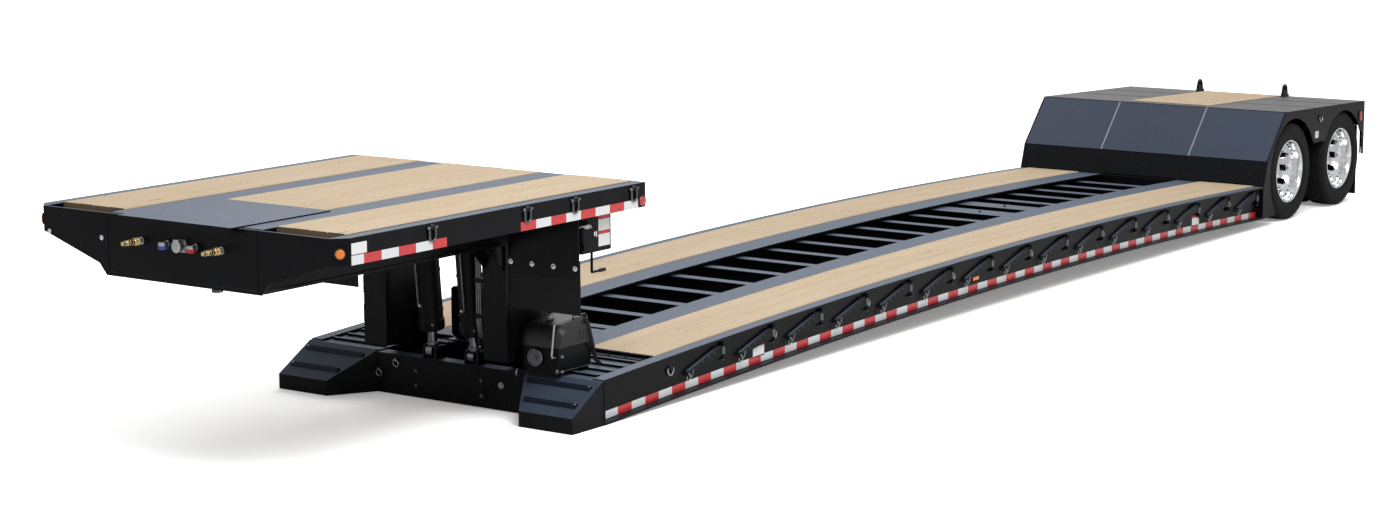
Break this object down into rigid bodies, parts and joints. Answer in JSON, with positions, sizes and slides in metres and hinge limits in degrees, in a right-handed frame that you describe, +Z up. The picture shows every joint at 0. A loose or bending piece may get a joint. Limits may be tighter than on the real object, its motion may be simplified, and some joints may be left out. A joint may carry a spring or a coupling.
{
  "type": "detachable gooseneck trailer",
  "caption": "Lowboy trailer with a hydraulic gooseneck, a cambered low well with oak tracks and a raised rear deck over tandem dual wheels.",
  "frame": {"origin": "on the floor, midway along and across the trailer", "axes": "+X forward towards the gooseneck, +Y left, +Z up"},
  "size_m": [15.16, 2.6292, 1.565],
  "materials": {
    "frame_paint": "gloss black",
    "oak": "sawn oak planks",
    "tyre": "matt",
    "polished_wheel": "polished",
    "rubber": "satin",
    "bright_steel": "bright",
    "brass": "satin"
  },
  "bodies": {
    "deck": {"side_rails": "frame_paint", "main_beams": "frame_paint", "well_crossmembers": "frame_paint", "deck_boards": "oak", "front_plate": "frame_paint", "front_ramps": "frame_paint", "neck_coupling": "frame_paint", "swing_brackets": "frame_paint", "tie_rings_deck": "bright_steel", "power_pack": "frame_paint", "bulkhead": "frame_paint", "rear_frame": "frame_paint", "fender_decks": "frame_paint", "skirts": "frame_paint", "booster_ears": "frame_paint", "mud_flaps": "rubber", "axles": "frame_paint", "trailing_arms": "frame_paint", "air_springs": "rubber", "air_tank": "frame_paint"},
    "gooseneck": {"neck_beams": "frame_paint", "neck_crossmembers": "frame_paint", "lift_shaft": "bright_steel", "neck_rails": "frame_paint", "neck_end_walls": "frame_paint", "neck_boards": "oak", "neck_cover": "frame_paint", "kingpin_plate": "bright_steel", "valve_box": "frame_paint", "flap_hangers": "frame_paint", "splash_flaps": "rubber", "front_connectors": "brass", "tie_rings_neck": "bright_steel"},
    "lift_barrel_left": {"lift_barrel_left": "frame_paint"},
    "lift_barrel_right": {"lift_barrel_right": "frame_paint"},
    "lift_rod_left": {"lift_rod_left": "bright_steel"},
    "lift_rod_right": {"lift_rod_right": "bright_steel"},
    "wheels_front_left": {"tyres_front_left": "tyre", "wheel_front_left": "polished_wheel"},
    "wheels_front_right": {"tyres_front_right": "tyre", "wheel_front_right": "polished_wheel"},
    "wheels_rear_left": {"tyres_rear_left": "tyre", "wheel_rear_left": "polished_wheel"},
    "wheels_rear_right": {"tyres_rear_right": "tyre", "wheel_rear_right": "polished_wheel"}
  },
  "joints": [
    {"name": "neck_pitch", "type": "hinge", "parent": "deck", "child": "gooseneck", "pos_m": [4.67, 0, 0.215], "axis": [0, -1, 0], "range_deg": [-4, 4]},
    {"name": "lift_swing_left", "type": "hinge", "parent": "gooseneck", "child": "lift_barrel_left", "pos_m": [5, 0.185, 1.3], "axis": [0, -1, 0], "range_deg": [-0.62, 0.62]},
    {"name": "lift_stroke_left", "type": "slide", "parent": "lift_barrel_left", "child": "lift_rod_left", "axis": [-0.0826, 0, -0.9966], "range_m": [-0.0175, 0.0175]},
    {"name": "lift_swing_right", "type": "hinge", "parent": "gooseneck", "child": "lift_barrel_right", "pos_m": [5, -0.185, 1.3], "axis": [0, -1, 0], "range_deg": [-0.62, 0.62]},
    {"name": "lift_stroke_right", "type": "slide", "parent": "lift_barrel_right", "child": "lift_rod_right", "axis": [-0.0826, 0, -0.9966], "range_m": [-0.0175, 0.0175]},
    {"name": "roll_front_left", "type": "hinge", "parent": "deck", "child": "wheels_front_left", "pos_m": [-5.885, 0.991, 0.466], "axis": [0, 1, 0], "continuous": true},
    {"name": "roll_front_right", "type": "hinge", "parent": "deck", "child": "wheels_front_right", "pos_m": [-5.885, -0.991, 0.466], "axis": [0, 1, 0], "continuous": true},
    {"name": "roll_rear_left", "type": "hinge", "parent": "deck", "child": "wheels_rear_left", "pos_m": [-7.065, 0.991, 0.466], "axis": [0, 1, 0], "continuous": true},
    {"name": "roll_rear_right", "type": "hinge", "parent": "deck", "child": "wheels_rear_right", "pos_m": [-7.065, -0.991, 0.466], "axis": [0, 1, 0], "continuous": true}
  ],
  "couplings": [
    {"joint": "lift_swing_left", "follows": "neck_pitch", "ratio": 0.1449},
    {"joint": "lift_stroke_left", "follows": "neck_pitch", "m_per_rad": 0.2389},
    {"joint": "lift_swing_right", "follows": "neck_pitch", "ratio": 0.1449},
    {"joint": "lift_stroke_right", "follows": "neck_pitch", "m_per_rad": 0.2389}
  ]
}
